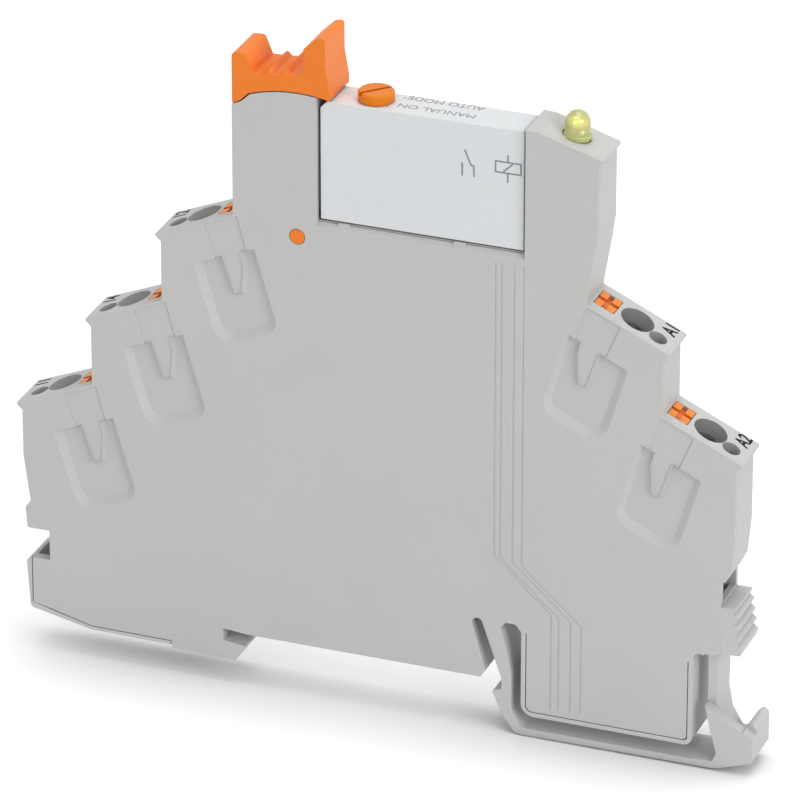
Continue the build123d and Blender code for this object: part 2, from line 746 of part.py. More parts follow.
def make_led_leads():
    """Two cranked wires from the lamp's foot to the board."""
    low = 59.0
    bend = led_seat - led_body - 1.5
    half = lead_side / 2
    leads = []
    for side in (-1, 1):
        foot_x = led_x - 0.9 + side * lead_pitch / 2
        top_x = led_x + side * 0.65
        near, far = sorted((foot_x, top_x))
        lead = slab(top_x - half, top_x + half, -half, half, bend, bend + 1.5)
        lead += slab(near - half, far + half, -half, half, bend - lead_side, bend)
        lead += slab(foot_x - half, foot_x + half, -half, half, low, bend)
        lead += slab(foot_x - half, foot_x + half, -half, board_front, low - lead_side, low)
        leads.append(lead)
    return Compound(leads)


def make_series_resistor():
    return slab(14.0, 17.2, board_front - 0.6, board_front, 22.0, 23.6)


def make_bridge_rectifier():
    body = slab(13.0, 17.6, board_front - 1.6, board_front - 0.15, 32.0, 36.0)
    for x in (13.9, 16.7):
        body += slab(x - 0.3, x + 0.3, board_front - 0.5, board_front, 31.0, 37.0)
    return body


# Retaining lever

def make_retaining_lever():
    head = rounded_face([
        (tower_left + 0.05, pivot_z + 10), (tower_left + 0.05, head_left_top - 0.1, 0.5),
        (-14.35, head_left_top, 0.5), (-13.4, head_floor), (-12.3, head_floor),
        (-11.6, head_floor + grip_rib), (-11.0, head_floor + 0.1), (-10.3, head_floor + 0.15),
        (-9.6, head_floor + grip_rib + 0.2), (-9.0, head_floor + 0.3), (-7.9, head_floor + 0.4),
        (-7.3, head_floor + 1.0), (-7.2, head_right_top - 1.7), (-5.6, head_right_top - 0.2, 0.4),
        (-4.5, head_right_top, 0.4), (-4.5, head_right_top - 3.5, 3), (nose_right, head_floor - 1.2),
        (nose_right, pivot_z + 10),
    ])
    head -= Pos(pivot_x, pivot_z) * Circle(tower_radius + lever_slide)
    # its foot reaches down the sloped step to the tower's shoulder
    left = tower_left + 0.05
    foot = shoulder_cut(shoulder_gap)
    foot -= Pos(left - 5, pivot_z + tower_radius) * Rectangle(10, 20)
    foot -= Pos(tower_left, head_floor + 9.5) * Rectangle(20, 20)
    foot -= Pos(tower_left, pivot_z + 11) * Rectangle(20, 6)
    head += foot
    head -= Pos(tower_left, pivot_z + 10.4) * Rectangle(20, 6)
    lever = plate(head, front, back)
    stem_top = head_floor - 1
    stem = rounded_face([(stem_left, pivot_z), (stem_left, stem_top), (stem_right, stem_top),
                         (stem_right, pivot_z)])
    stem += Pos(pivot_x, pivot_z) * Circle(hub_radius)
    tip_x = pivot_x + ejector_reach
    tip_z = relay_bottom - ejector_gap
    stem += rounded_face([
        (pivot_x, pivot_z + 1.2), (tip_x - 1.0, tip_z - 0.2), (tip_x - 0.5, tip_z, 0.15),
        (tip_x, tip_z, 0.15),
        (tip_x, tip_z - 1.0), (pivot_x + 1.2, pivot_z - 1.4),
    ])
    lever += plate(stem, stem_front, stem_back)
    lever += pin_along_y(pivot_x, pivot_z, pin_radius, front, back)
    return lever


# Plug-in relay

def make_relay_case():
    outline = rounded_face([
        (relay_left, relay_bottom), (relay_left, relay_top - relay_corner),
        (relay_left + relay_corner, relay_top),
        (relay_right, relay_top, 0.4), (relay_right, relay_bottom),
    ])
    case = plate(outline, relay_front, relay_back)
    hollow = rounded_face([
        (relay_left + relay_wall, relay_bottom - 1),
        (relay_left + relay_wall, relay_top - relay_corner - relay_wall),
        (relay_left + relay_corner + relay_wall, relay_top - relay_wall),
        (relay_right - relay_wall, relay_top - relay_wall), (relay_right - relay_wall, relay_bottom - 1),
    ])
    case -= plate(hollow, relay_front + relay_wall, relay_back - relay_wall)
    case -= Pos(knob_x, relay_y, relay_top) * Cylinder(knob_shaft + bearing_gap, 2)
    return case


def make_relay_base():
    """Carrier below the relay's works, with two feet that rest on the bay floor."""
    inset = relay_wall + 0.02
    base = slab(relay_left + inset, relay_right - inset, relay_front + inset, relay_back - inset,
                relay_bottom, base_top)
    for x in (-2.1, 12.1):
        base += slab(x - 0.6, x + 0.6, relay_front + inset, relay_back - inset, bay_floor, relay_bottom)
    half_x = pin_width / 2
    half_y = pin_thickness / 2
    for x in contact_pins + coil_pins:
        base -= slab(x - half_x, x + half_x, relay_y - half_y, relay_y + half_y,
                     relay_bottom - 1, base_top + 1)
    return base


def pin(x, top):
    half_x = pin_width / 2
    half_y = pin_thickness / 2
    return slab(x - half_x, x + half_x, relay_y - half_y, relay_y + half_y, relay_bottom - pin_length, top)


def make_bobbin():
    z = coil_mid_z
    wide = yoke_width + 0.3
    half_y = core_width / 2 + bobbin_wall
    half_z = core_height / 2 + bobbin_wall
    tube = slab(coil_left, coil_right, relay_y - half_y, relay_y + half_y, z - half_z, z + half_z)
    for x in (coil_left - bobbin_flange, coil_right):
        tube += slab(x, x + bobbin_flange, relay_y - wide / 2, relay_y + wide / 2,
                     base_top, z + coil_height / 2 + 0.3)
    tube -= slab(coil_left - 2, coil_right + 2, relay_y - core_width / 2, relay_y + core_width / 2,
                 z - core_height / 2, z + core_height / 2)
    return tube


def make_coil_winding():
    z = coil_mid_z
    radius = (yoke_width - 0.1) / 2
    half_y = core_width / 2 + bobbin_wall
    half_z = core_height / 2 + bobbin_wall
    section = Rectangle(2 * radius, coil_height)
    section = fillet(section.vertices(), radius * 0.9) - Rectangle(2 * half_y, 2 * half_z)
    return extrude(Plane.YZ.offset(coil_left) * Pos(relay_y, z) * section, amount=coil_right - coil_left)


def make_coil_core():
    z = coil_mid_z
    return slab(core_left, core_right, relay_y - core_width / 2, relay_y + core_width / 2,
                z - core_height / 2, z + core_height / 2)


def make_yoke():
    half = yoke_width / 2
    top = slab(yoke_left, core_right + yoke_thickness, relay_y - half, relay_y + half,
               yoke_low, yoke_low + yoke_thickness)
    return top + slab(core_right, core_right + yoke_thickness, relay_y - half, relay_y + half,
                      coil_mid_z - core_height / 2 - 1, yoke_low)


def make_armature():
    right = core_left - armature_gap
    half = yoke_width / 2
    low = coil_mid_z - 2.4
    plate_part = slab(right - armature_thickness, right, relay_y - half, relay_y + half, low, yoke_low - 0.05)
    return plate_part


def make_contact_card():
    right = core_left - armature_gap - armature_thickness
    left = blade_x + contact_blade / 2
    return slab(left + card_gap, right - card_gap, card_y, card_y + card_width,
                card_z - card_height / 2, card_z + card_height / 2)


def make_moving_contact():
    blade = slab(blade_x - contact_blade / 2, blade_x + contact_blade / 2, relay_y - 1.3, relay_y + 1.3,
                 blade_low, blade_top)
    rivet = Pos(blade_x, contact_y, contact_z) * Rot(0, 90, 0)
    return blade + rivet * Cylinder(contact_radius, contact_blade + 0.5)


def make_common_terminal():
    """Pin of the moving contact, with the seat of its blade."""
    x = contact_pins[1]
    post = pin(x, base_top)
    post += slab(blade_x - 0.45, x + pin_width / 2, relay_y - 1.3, relay_y + 1.3, base_top, base_top + 0.55)
    return post


def make_fixed_contact(x_pin, side):
    """Pin, cranked blade and rivet of a fixed contact, left (-1) or right (1) of the moving one."""
    reach = contact_blade / 2 + 0.25 + (0.02 if side < 0 else contact_gap)
    face = blade_x + side * reach
    blade_at = face + side * (0.25 + contact_blade / 2)
    part = pin(x_pin, base_top)
    low_x = min(x_pin - pin_width / 2, blade_at - contact_blade / 2)
    high_x = max(x_pin + pin_width / 2, blade_at + contact_blade / 2)
    shelf = base_top + (0.75 if side < 0 else 0.0)
    y_low = relay_y - 1.3
    y_high = relay_y + 0.25
    if side < 0:
        part += slab(x_pin - pin_width / 2, x_pin + pin_width / 2, y_low, y_high, base_top, shelf + 0.3)
    part += slab(low_x, high_x, y_low, y_high, shelf, shelf + 0.3)
    part += slab(blade_at - contact_blade / 2, blade_at + contact_blade / 2, y_low, y_high, shelf, blade_top)
    rivet = Pos((face + blade_at) / 2, contact_y, contact_z) * Rot(0, 90, 0)
    part += rivet * Cylinder(contact_radius, abs(blade_at - face))
    return part


def make_mode_knob():
    low = relay_top + 0.05
    knob = Pos(knob_x, relay_y, low + knob_height / 2) * Cylinder(knob_radius, knob_height)
    knob = chamfer(knob.edges().sort_by(Axis.Z)[-1], 0.2)
    slot = Rot(0, 0, knob_slot_turn) * Box(2 * knob_radius + 1, knob_slot, 1.0)
    knob -= Pos(knob_x, relay_y, low + knob_height) * slot
    shaft_low = relay_top - relay_wall - 0.8
    knob += Pos(knob_x, relay_y, (shaft_low + low) / 2) * Cylinder(knob_shaft, low - shaft_low)
    return knob


def build_parts():
    parts = {"rear_housing": make_rear_housing(), "side_cover": make_side_cover()}
    for terminal in terminals:
        parts["release_button_" + terminal.name] = make_release_button(terminal)
        parts["clamp_spring_" + terminal.name] = make_clamp_spring(terminal)
        parts["busbar_" + terminal.name] = make_busbar(terminal)
    parts["circuit_board"] = make_circuit_board()
    parts["coil_socket_1"] = make_coil_socket(coil_pins[0])
    parts["coil_socket_2"] = make_coil_socket(coil_pins[1])
    parts["status_led"] = make_status_led()
    parts["led_leads"] = make_led_leads()
    parts["series_resistor"] = make_series_resistor()
    parts["bridge_rectifier"] = make_bridge_rectifier()
    parts["retaining_lever"] = make_retaining_lever()
    parts["relay_case"] = make_relay_case()
    parts["relay_base"] = make_relay_base()
    parts["coil_bobbin"] = make_bobbin()
    parts["coil_winding"] = make_coil_winding()
    parts["coil_core"] = make_coil_core()
    parts["yoke"] = make_yoke()
    parts["armature"] = make_armature()
    parts["contact_card"] = make_contact_card()
    parts["moving_contact"] = make_moving_contact()
    parts["common_terminal"] = make_common_terminal()
    parts["fixed_contact_nc"] = make_fixed_contact(contact_pins[0], -1)
    parts["fixed_contact_no"] = make_fixed_contact(contact_pins[2], 1)
    parts["coil_pin_1"] = pin(coil_pins[0], base_top + 0.6)
    parts["coil_pin_2"] = pin(coil_pins[1], base_top + 0.6)
    parts["mode_knob"] = make_mode_knob()
    return parts


os.makedirs("parts", exist_ok=True)
for name, shape in build_parts().items():
    export_step(shape, f"parts/{name}.step")
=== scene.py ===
import json
import math
import bmesh
import bpy
import numpy as np
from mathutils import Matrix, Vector

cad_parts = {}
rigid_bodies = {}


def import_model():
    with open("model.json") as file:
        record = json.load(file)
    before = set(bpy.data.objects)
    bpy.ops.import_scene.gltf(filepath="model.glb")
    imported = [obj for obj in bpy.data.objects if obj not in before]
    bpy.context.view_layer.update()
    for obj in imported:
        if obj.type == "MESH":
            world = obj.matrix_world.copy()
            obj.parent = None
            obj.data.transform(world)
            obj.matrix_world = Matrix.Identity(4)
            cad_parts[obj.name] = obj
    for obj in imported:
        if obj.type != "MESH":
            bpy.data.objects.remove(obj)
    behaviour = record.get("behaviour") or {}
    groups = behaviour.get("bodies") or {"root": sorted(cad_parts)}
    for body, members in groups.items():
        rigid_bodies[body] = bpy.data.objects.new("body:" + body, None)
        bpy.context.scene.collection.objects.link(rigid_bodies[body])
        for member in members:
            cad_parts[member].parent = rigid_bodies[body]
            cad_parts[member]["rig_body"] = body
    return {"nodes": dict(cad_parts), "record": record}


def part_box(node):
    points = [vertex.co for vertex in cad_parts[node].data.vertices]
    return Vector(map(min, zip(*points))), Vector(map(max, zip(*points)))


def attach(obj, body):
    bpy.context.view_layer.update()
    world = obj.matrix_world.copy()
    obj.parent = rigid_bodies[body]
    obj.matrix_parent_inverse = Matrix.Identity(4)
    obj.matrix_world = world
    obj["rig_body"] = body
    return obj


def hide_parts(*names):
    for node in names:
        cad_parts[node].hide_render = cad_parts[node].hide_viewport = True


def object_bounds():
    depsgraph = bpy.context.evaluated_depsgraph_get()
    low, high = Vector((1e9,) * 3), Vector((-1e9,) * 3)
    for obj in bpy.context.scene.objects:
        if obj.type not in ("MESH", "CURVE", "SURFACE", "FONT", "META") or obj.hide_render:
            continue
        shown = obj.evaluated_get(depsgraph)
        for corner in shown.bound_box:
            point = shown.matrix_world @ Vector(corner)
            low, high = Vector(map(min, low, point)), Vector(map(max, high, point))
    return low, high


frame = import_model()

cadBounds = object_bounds()   # the solids' own box
mm = 0.001                # lengths below are in millimetres times mm
nodes = frame["nodes"]
mounts = {mount["name"]: mount for mount in frame["record"]["mounts"]}
print("frame loaded,", len(nodes), "pieces")


# camera and studio

cameraLook = {
    "place": (271.35 * mm, -704.59 * mm, 401.89 * mm),
    "turn": 20.879,       # degrees round Z from looking along +Y
    "tilt": 26.055,       # degrees down from level
    "lens": 323.5,        # a long lens, for a sensor of 36
    "clip": (0.01, 20.0),
}

studioLook = {
    "floorLevel": -6.95 * mm,
    "floorSize": 6.0,
    "floorColour": (0.82, 0.82, 0.82, 1.0),
    "floorGlow": 0.45,    # lifts the open floor to white where it is seen; less glow close to the part, a painted shadow there
    "shadowReach": 17 * mm,
    "shadowCore": 0.35,   # open share of the floor below which it has no glow at all
    "skyColour": (1.0, 1.0, 1.0, 1.0),
    "skyLight": 0.44,
    # place, size and watts of each soft panel, all aimed at the middle of the part
    "panels": {
        "overheadPanel": ((0.06, 0.10, 0.72), 0.55, 1.95),
        "rightPanel": ((0.80, -0.42, 0.42), 0.50, 3.3),
        "frontPanel": ((-0.25, -0.95, 0.30), 0.60, 1.38),
    },
}


def makeCamera():
    data = bpy.data.cameras.new("camera")
    data.lens = cameraLook["lens"]
    data.sensor_width = 36
    data.clip_start = cameraLook["clip"][0]
    data.clip_end = cameraLook["clip"][1]
    camera = bpy.data.objects.new("camera", data)
    camera.location = cameraLook["place"]
    camera.rotation_euler = (math.radians(90 - cameraLook["tilt"]), 0, math.radians(cameraLook["turn"]))
    bpy.context.scene.collection.objects.link(camera)
    bpy.context.scene.camera = camera


# 1 for the rays that show the studio itself: straight to the camera, mirrored or through glass
def seenRays(tree):
    path = tree.nodes.new("ShaderNodeLightPath")
    first = tree.nodes.new("ShaderNodeMath")
    first.operation = "MAXIMUM"
    both = tree.nodes.new("ShaderNodeMath")
    both.operation = "MAXIMUM"
    tree.links.new(path.outputs["Is Camera Ray"], first.inputs[0])
    tree.links.new(path.outputs["Is Glossy Ray"], first.inputs[1])
    tree.links.new(first.outputs[0], both.inputs[0])
    tree.links.new(path.outputs["Is Transmission Ray"], both.inputs[1])
    return both.outputs[0]


def makeWorld():
    world = bpy.data.worlds.new("studioSky")
    world.use_nodes = True
    tree = world.node_tree
    tree.nodes.clear()
    light = tree.nodes.new("ShaderNodeBackground")
    light.inputs["Color"].default_value = studioLook["skyColour"]
    light.inputs["Strength"].default_value = studioLook["skyLight"]
    shown = tree.nodes.new("ShaderNodeBackground")
    shown.inputs["Color"].default_value = studioLook["skyColour"]
    shown.inputs["Strength"].default_value = 1.0
    mix = tree.nodes.new("ShaderNodeMixShader")
    output = tree.nodes.new("ShaderNodeOutputWorld")
    tree.links.new(seenRays(tree), mix.inputs[0])
    tree.links.new(light.outputs[0], mix.inputs[1])
    tree.links.new(shown.outputs[0], mix.inputs[2])
    tree.links.new(mix.outputs[0], output.inputs["Surface"])
    bpy.context.scene.world = world


# round soft lamps, each turned so that its face looks at the aim
def makePanels(aim):
    for name, (place, size, watts) in studioLook["panels"].items():
        data = bpy.data.lights.new(name, "AREA")
        data.shape = "DISK"
        data.size = size
        data.energy = watts
        lamp = bpy.data.objects.new(name, data)
        lamp.location = place
        lamp.rotation_euler = (Vector(aim) - Vector(place)).to_track_quat("-Z", "Y").to_euler()
        bpy.context.scene.collection.objects.link(lamp)


def meshPiece(name, points, faces):
    mesh = bpy.data.meshes.new(name)
    mesh.from_pydata(points.tolist(), [], faces.tolist() if hasattr(faces, "tolist") else faces)
    mesh.update()
    piece = bpy.data.objects.new(name, mesh)
    bpy.context.scene.collection.objects.link(piece)
    return piece


# a flat square: x and y run over a grid, z is the floor level
def makeFloor():
    half = studioLook["floorSize"] / 2
    x, y = np.meshgrid(np.linspace(-half, half, 3), np.linspace(-half, half, 3))
    points = np.stack([x.ravel(), y.ravel(), np.full(x.size, studioLook["floorLevel"])], 1)
    corner = (np.arange(2)[:, None] * 3 + np.arange(2)).ravel()
    floor = meshPiece("floor", points, np.stack([corner, corner + 1, corner + 4, corner + 3], 1))
    material = bpy.data.materials.new("floorPaper")
    material.use_nodes = True
    tree = material.node_tree
    tree.nodes.clear()
    paper = tree.nodes.new("ShaderNodeBsdfDiffuse")
    paper.inputs["Color"].default_value = studioLook["floorColour"]
    glow = tree.nodes.new("ShaderNodeEmission")
    # painted shadow: the floor's glow fades where the part closes it off
    openFloor = tree.nodes.new("ShaderNodeAmbientOcclusion")
    openFloor.samples = 12
    openFloor.inputs["Distance"].default_value = studioLook["shadowReach"]
    reach = tree.nodes.new("ShaderNodeMapRange")
    reach.inputs["From Min"].default_value = studioLook["shadowCore"]
    reach.inputs["From Max"].default_value = 1.0
    reach.inputs["To Min"].default_value = 0.0
    reach.inputs["To Max"].default_value = studioLook["floorGlow"]
    strength = tree.nodes.new("ShaderNodeMath")
    strength.operation = "MULTIPLY"
    add = tree.nodes.new("ShaderNodeAddShader")
    output = tree.nodes.new("ShaderNodeOutputMaterial")
    tree.links.new(openFloor.outputs["AO"], reach.inputs["Value"])
    tree.links.new(seenRays(tree), strength.inputs[0])
    tree.links.new(reach.outputs["Result"], strength.inputs[1])
    tree.links.new(strength.outputs[0], glow.inputs["Strength"])
    tree.links.new(paper.outputs[0], add.inputs[0])
    tree.links.new(glow.outputs[0], add.inputs[1])
    tree.links.new(add.outputs[0], output.inputs["Surface"])
    floor.data.materials.append(material)


makeCamera()
makeWorld()
makeFloor()
makePanels((Vector(cadBounds[0]) + Vector(cadBounds[1])) / 2)
bpy.context.scene.view_settings.view_transform = "Standard"
print("camera, floor and lamps made")


# finishes

# a principled shader on Object coordinates, with the constants set on its own sockets
def startMaterial(name, look):
    material = bpy.data.materials.new(name)
    material.use_nodes = True
    tree = material.node_tree
    tree.nodes.clear()
    output = tree.nodes.new("ShaderNodeOutputMaterial")
    shader = tree.nodes.new("ShaderNodeBsdfPrincipled")
    shader.inputs["Metallic"].default_value = look.get("metal", 0.0)
    shader.inputs["IOR"].default_value = look.get("ior", 1.5)
    shader.inputs["Specular IOR Level"].default_value = look.get("shine", 0.5)
    shader.inputs["Subsurface Weight"].default_value = look.get("milk", 0.0)
    shader.inputs["Subsurface Scale"].default_value = look.get("milkDepth", 0.3 * mm)
    shader.inputs["Transmission Weight"].default_value = look.get("clear", 0.0)
    shader.inputs["Coat Weight"].default_value = look.get("coat", 0.0)
    shader.inputs["Coat Roughness"].default_value = look.get("coatRough", 0.15)
    tree.links.new(shader.outputs["BSDF"], output.inputs["Surface"])
    coords = tree.nodes.new("ShaderNodeTexCoord")
    return material, tree, shader, coords.outputs["Object"]


# cloudy noise with patches of about the given size
def noiseOf(tree, coords, size, detail=2.0, stretch=(1.0, 1.0, 1.0)):
    mapping = tree.nodes.new("ShaderNodeMapping")
    mapping.inputs["Scale"].default_value = stretch
    noise = tree.nodes.new("ShaderNodeTexNoise")
    noise.inputs["Scale"].default_value = 1.0 / size
    noise.inputs["Detail"].default_value = detail
    tree.links.new(coords, mapping.inputs["Vector"])
    tree.links.new(mapping.outputs["Vector"], noise.inputs["Vector"])
    return noise.outputs[0]


def rampOf(tree, factor, low, high, start=0.35, stop=0.65):
    ramp = tree.nodes.new("ShaderNodeValToRGB")
    ramp.color_ramp.elements[0].position = start
    ramp.color_ramp.elements[0].color = (*low, 1.0)
    ramp.color_ramp.elements[1].position = stop
    ramp.color_ramp.elements[1].color = (*high, 1.0)
    tree.links.new(factor, ramp.inputs["Fac"])
    return ramp.outputs["Color"]


# the middle of a noise's range, spread from low to high
def rangeOf(tree, factor, low, high):
    span = tree.nodes.new("ShaderNodeMapRange")
    span.inputs["From Min"].default_value = 0.3
    span.inputs["From Max"].default_value = 0.7
    span.inputs["To Min"].default_value = low
    span.inputs["To Max"].default_value = high
    tree.links.new(factor, span.inputs["Value"])
    return span.outputs["Result"]


def mixOf(tree, factor, colour, other):
    mix = tree.nodes.new("ShaderNodeMix")
    mix.data_type = "RGBA"
    tree.links.new(factor, mix.inputs[0])
    tree.links.new(colour, mix.inputs[6])
    mix.inputs[7].default_value = (*other, 1.0)
    return mix.outputs[2]


# normal of the moulded edges, rounded in the shading
def roundedNormal(tree, edge):
    bevel = tree.nodes.new("ShaderNodeBevel")
    bevel.samples = 6
    bevel.inputs["Radius"].default_value = edge
    return bevel.outputs["Normal"]


# cosine between the flat and the rounded normal where an edge's painted highlight is full, and where there
# is none
edgeHighlightLook = {"highlighted": 0.72, "whole": 0.99}


# where the rounded normal leaves the flat one, the edge is painted paler, a painted highlight
def paintedEdgeHighlight(tree, normal, highlightStrength):
    flat = tree.nodes.new("ShaderNodeNewGeometry")
    match = tree.nodes.new("ShaderNodeVectorMath")
    match.operation = "DOT_PRODUCT"
    tree.links.new(normal, match.inputs[0])
    tree.links.new(flat.outputs["True Normal"], match.inputs[1])
    span = tree.nodes.new("ShaderNodeMapRange")
    span.inputs["From Min"].default_value = edgeHighlightLook["highlighted"]
    span.inputs["From Max"].default_value = edgeHighlightLook["whole"]
    span.inputs["To Min"].default_value = highlightStrength
    span.inputs["To Max"].default_value = 0.0
    tree.links.new(match.outputs["Value"], span.inputs["Value"])
    return span.outputs["Result"]


# painted shade: 0 in the open, up to full where nearby plastic closes off more than the clear share of the
# light
def paintedCornerShade(tree, look):
    openness = tree.nodes.new("ShaderNodeAmbientOcclusion")
    openness.samples = 8
    openness.inputs["Distance"].default_value = look["reach"]
    span = tree.nodes.new("ShaderNodeMapRange")
    span.inputs["From Min"].default_value = look["closed"]
    span.inputs["From Max"].default_value = look["clear"]
    span.inputs["To Min"].default_value = look["full"]
    span.inputs["To Max"].default_value = 0.0
    tree.links.new(openness.outputs["AO"], span.inputs["Value"])
    return span.outputs["Result"]


def mathOf(tree, operation, one, other):
    step = tree.nodes.new("ShaderNodeMath")
    step.operation = operation
    tree.links.new(one, step.inputs[0])
    if isinstance(other, float):
        step.inputs[1].default_value = other
    else:
        tree.links.new(other, step.inputs[1])
    return step.outputs[0]


# 1 inside the round holes of some mounts: the distance of a point p from an axis through c along a
# is the length of (p - c) x a, and its height over c is (p - c) . a
def insideHoles(tree, coords, names, radius, depth):
    inside = None
    for name in names:
        away = tree.nodes.new("ShaderNodeVectorMath")
        away.operation = "SUBTRACT"
        away.inputs[1].default_value = mounts[name]["pos_m"]
        turned = tree.nodes.new("ShaderNodeVectorMath")
        turned.operation = "CROSS_PRODUCT"
        turned.inputs[1].default_value = mounts[name]["axis"]
        length = tree.nodes.new("ShaderNodeVectorMath")
        length.operation = "LENGTH"
        tree.links.new(coords, away.inputs[0])
        tree.links.new(away.outputs[0], turned.inputs[0])
        tree.links.new(turned.outputs[0], length.inputs[0])
        height = tree.nodes.new("ShaderNodeVectorMath")
        height.operation = "DOT_PRODUCT"
        height.inputs[1].default_value = mounts[name]["axis"]
        tree.links.new(away.outputs[0], height.inputs[0])
        within = mathOf(tree, "LESS_THAN", length.outputs["Value"], radius)
        above = mathOf(tree, "GREATER_THAN", height.outputs["Value"], -depth)
        near = mathOf(tree, "MULTIPLY", within, above)
        inside = near if inside is None else mathOf(tree, "MAXIMUM", inside, near)
    return inside


# the grain stands on the rounded normal
def bumpOf(tree, shader, height, depth, edge):
    bump = tree.nodes.new("ShaderNodeBump")
    bump.inputs["Strength"].default_value = 1.0
    bump.inputs["Distance"].default_value = depth
    tree.links.new(height, bump.inputs["Height"])
    if edge > 0:
        tree.links.new(roundedNormal(tree, edge), bump.inputs["Normal"])
    tree.links.new(bump.outputs["Normal"], shader.inputs["Normal"])


# moulded plastic: cloudy tint, a fine speckle, a painted highlight on the edges, painted shade in the
# corners and holes, uneven gloss and the eroded grain of the tool
def mouldedPlastic(name, look):
    material, tree, shader, coords = startMaterial(name, look)
    cloud = noiseOf(tree, coords, look["cloudSize"], 3.0)
    speckle = noiseOf(tree, coords, look["grainSize"] * 1.7, 2.0)
    blend = tree.nodes.new("ShaderNodeMath")
    blend.operation = "MULTIPLY_ADD"
    blend.inputs[1].default_value = look.get("speckle", 0.25)
    tree.links.new(speckle, blend.inputs[0])
    tree.links.new(cloud, blend.inputs[2])
    spread = look["spread"]
    base = np.array(look["colour"])
    pale = np.minimum(base * (1 + spread), 1.0)
    colour = rampOf(tree, blend.outputs[0], base * (1 - spread), pale, 0.4, 0.85)
    # a painted highlight along the edges
    if look.get("edgeHighlight"):
        highlighted = paintedEdgeHighlight(tree, roundedNormal(tree, look["edge"]), look["edgeHighlight"])
        colour = mixOf(tree, highlighted, colour, look["edgeHighlightColour"])
    # painted shade in corners and recesses, from how much nearby plastic closes them in
    if "corner" in look:
        colour = mixOf(tree, paintedCornerShade(tree, look["corner"]), colour, look["corner"]["colour"])
    # painted shade inside the wire entries and test holes
    for kind, radius, share in look.get("holes", ()):
        names = [mount for mount in mounts if mount.startswith(kind)]
        inside = insideHoles(tree, coords, names, radius, look["holeDepth"])
        colour = mixOf(tree, mathOf(tree, "MULTIPLY", inside, share), colour, look["holeShadeColour"])
    tree.links.new(colour, shader.inputs["Base Color"])
    grain = noiseOf(tree, coords, look["grainSize"], 4.0)
    rough = look["rough"]
    tree.links.new(rangeOf(tree, cloud, rough - 0.05, rough + 0.05), shader.inputs["Roughness"])
    bumpOf(tree, shader, grain, look["grainDepth"], look.get("edge", 0.0))
    return material


# rolled or drawn metal: streaks along one direction in colour, gloss and bump
def rolledMetal(name, look):
    material, tree, shader, coords = startMaterial(name, look)
    streak = noiseOf(tree, coords, look["grainSize"], 3.0, look["stretch"])
    base = np.array(look["colour"])
    colour = rampOf(tree, streak, base * 0.86, np.minimum(base * 1.08, 1.0))
    tree.links.new(colour, shader.inputs["Base Color"])
    rough = look["rough"]
    tree.links.new(rangeOf(tree, streak, rough - 0.08, rough + 0.1), shader.inputs["Roughness"])
    bumpOf(tree, shader, streak, look["grainDepth"], look.get("edge", 0.0))
    return material


# turns of enamelled wire: bands across X give each turn its round back in gloss and bump, and painted shade
# between the turns in the colour
def woundWire(name, look):
    material, tree, shader, coords = startMaterial(name, look)
    wave = tree.nodes.new("ShaderNodeTexWave")
    wave.bands_direction = "X"
    wave.inputs["Scale"].default_value = look["turnsPerMetre"]
    wave.inputs["Distortion"].default_value = 0.6
    tree.links.new(coords, wave.inputs["Vector"])
    base = np.array(look["colour"])
    # painted shade: the colour darkens between the turns
    colour = rampOf(tree, wave.outputs["Fac"], base * 0.45, base, 0.1, 0.7)
    tree.links.new(colour, shader.inputs["Base Color"])
    tree.links.new(rangeOf(tree, wave.outputs["Fac"], 0.45, 0.25), shader.inputs["Roughness"])
    bumpOf(tree, shader, wave.outputs["Fac"], look["grainDepth"], 0.0)
    return material


# solder mask over tracks: blocks of a slightly other green stand a little proud
def boardMask(name, look):
    material, tree, shader, coords = startMaterial(name, look)
    cells = tree.nodes.new("ShaderNodeTexVoronoi")
    cells.distance = "CHEBYCHEV"
    cells.inputs["Scale"].default_value = 1.0 / look["trackSize"]
    tree.links.new(coords, cells.inputs["Vector"])
    base = np.array(look["colour"])
    colour = rampOf(tree, cells.outputs["Distance"], base * 1.5, base * 0.8, 0.25, 0.3)
    tree.links.new(colour, shader.inputs["Base Color"])
    weave = noiseOf(tree, coords, look["grainSize"], 3.0)
    tree.links.new(rangeOf(tree, weave, 0.25, 0.4), shader.inputs["Roughness"])
    bumpOf(tree, shader, cells.outputs["Distance"], look["grainDepth"], 0.0)
    return material


housingGrain = {
    "cloudSize": 14 * mm, "grainSize": 0.16 * mm, "grainDepth": 0.0035 * mm, "edge": 0.15 * mm,
    # a painted highlight on the edges, and its colour
    "edgeHighlight": 0.45, "edgeHighlightColour": (0.88, 0.88, 0.87),
    # painted shade: plastic hemmed in by its neighbours, within the reach, turns to this dark colour by the
    # full share
    "corner": {
        "reach": 1.6 * mm, "closed": 0.25, "clear": 0.92, "full": 0.45, "colour": (0.12, 0.121, 0.121),
    },
    # painted shade in the holes: first letters of the mounts, radius, and how far the plastic darkens
    # inside
    "holes": (
        ("wire_entry_1", 2.12 * mm, 0.52),
        ("wire_entry_a", 2.12 * mm, 0.76),
        ("test_hole", 1.17 * mm, 0.25),
    ),
    "holeDepth": 6 * mm,
    "holeShadeColour": (0.10, 0.10, 0.10),
}
# painted shade in the corners of the cover, the buttons, the knob and the lever
coverCornerShade = {
    "reach": 2.0 * mm, "closed": 0.7, "clear": 0.96, "full": 0.13, "colour": (0.12, 0.121, 0.121),
}
orangeCornerShade = {
    "reach": 1.4 * mm, "closed": 0.1, "clear": 0.9, "full": 0.6, "colour": (0.46, 0.05, 0.004),
}
leverCornerShade = {
    "reach": 2.2 * mm, "closed": 0.1, "clear": 0.97, "full": 0.9, "colour": (0.52, 0.055, 0.004),
}
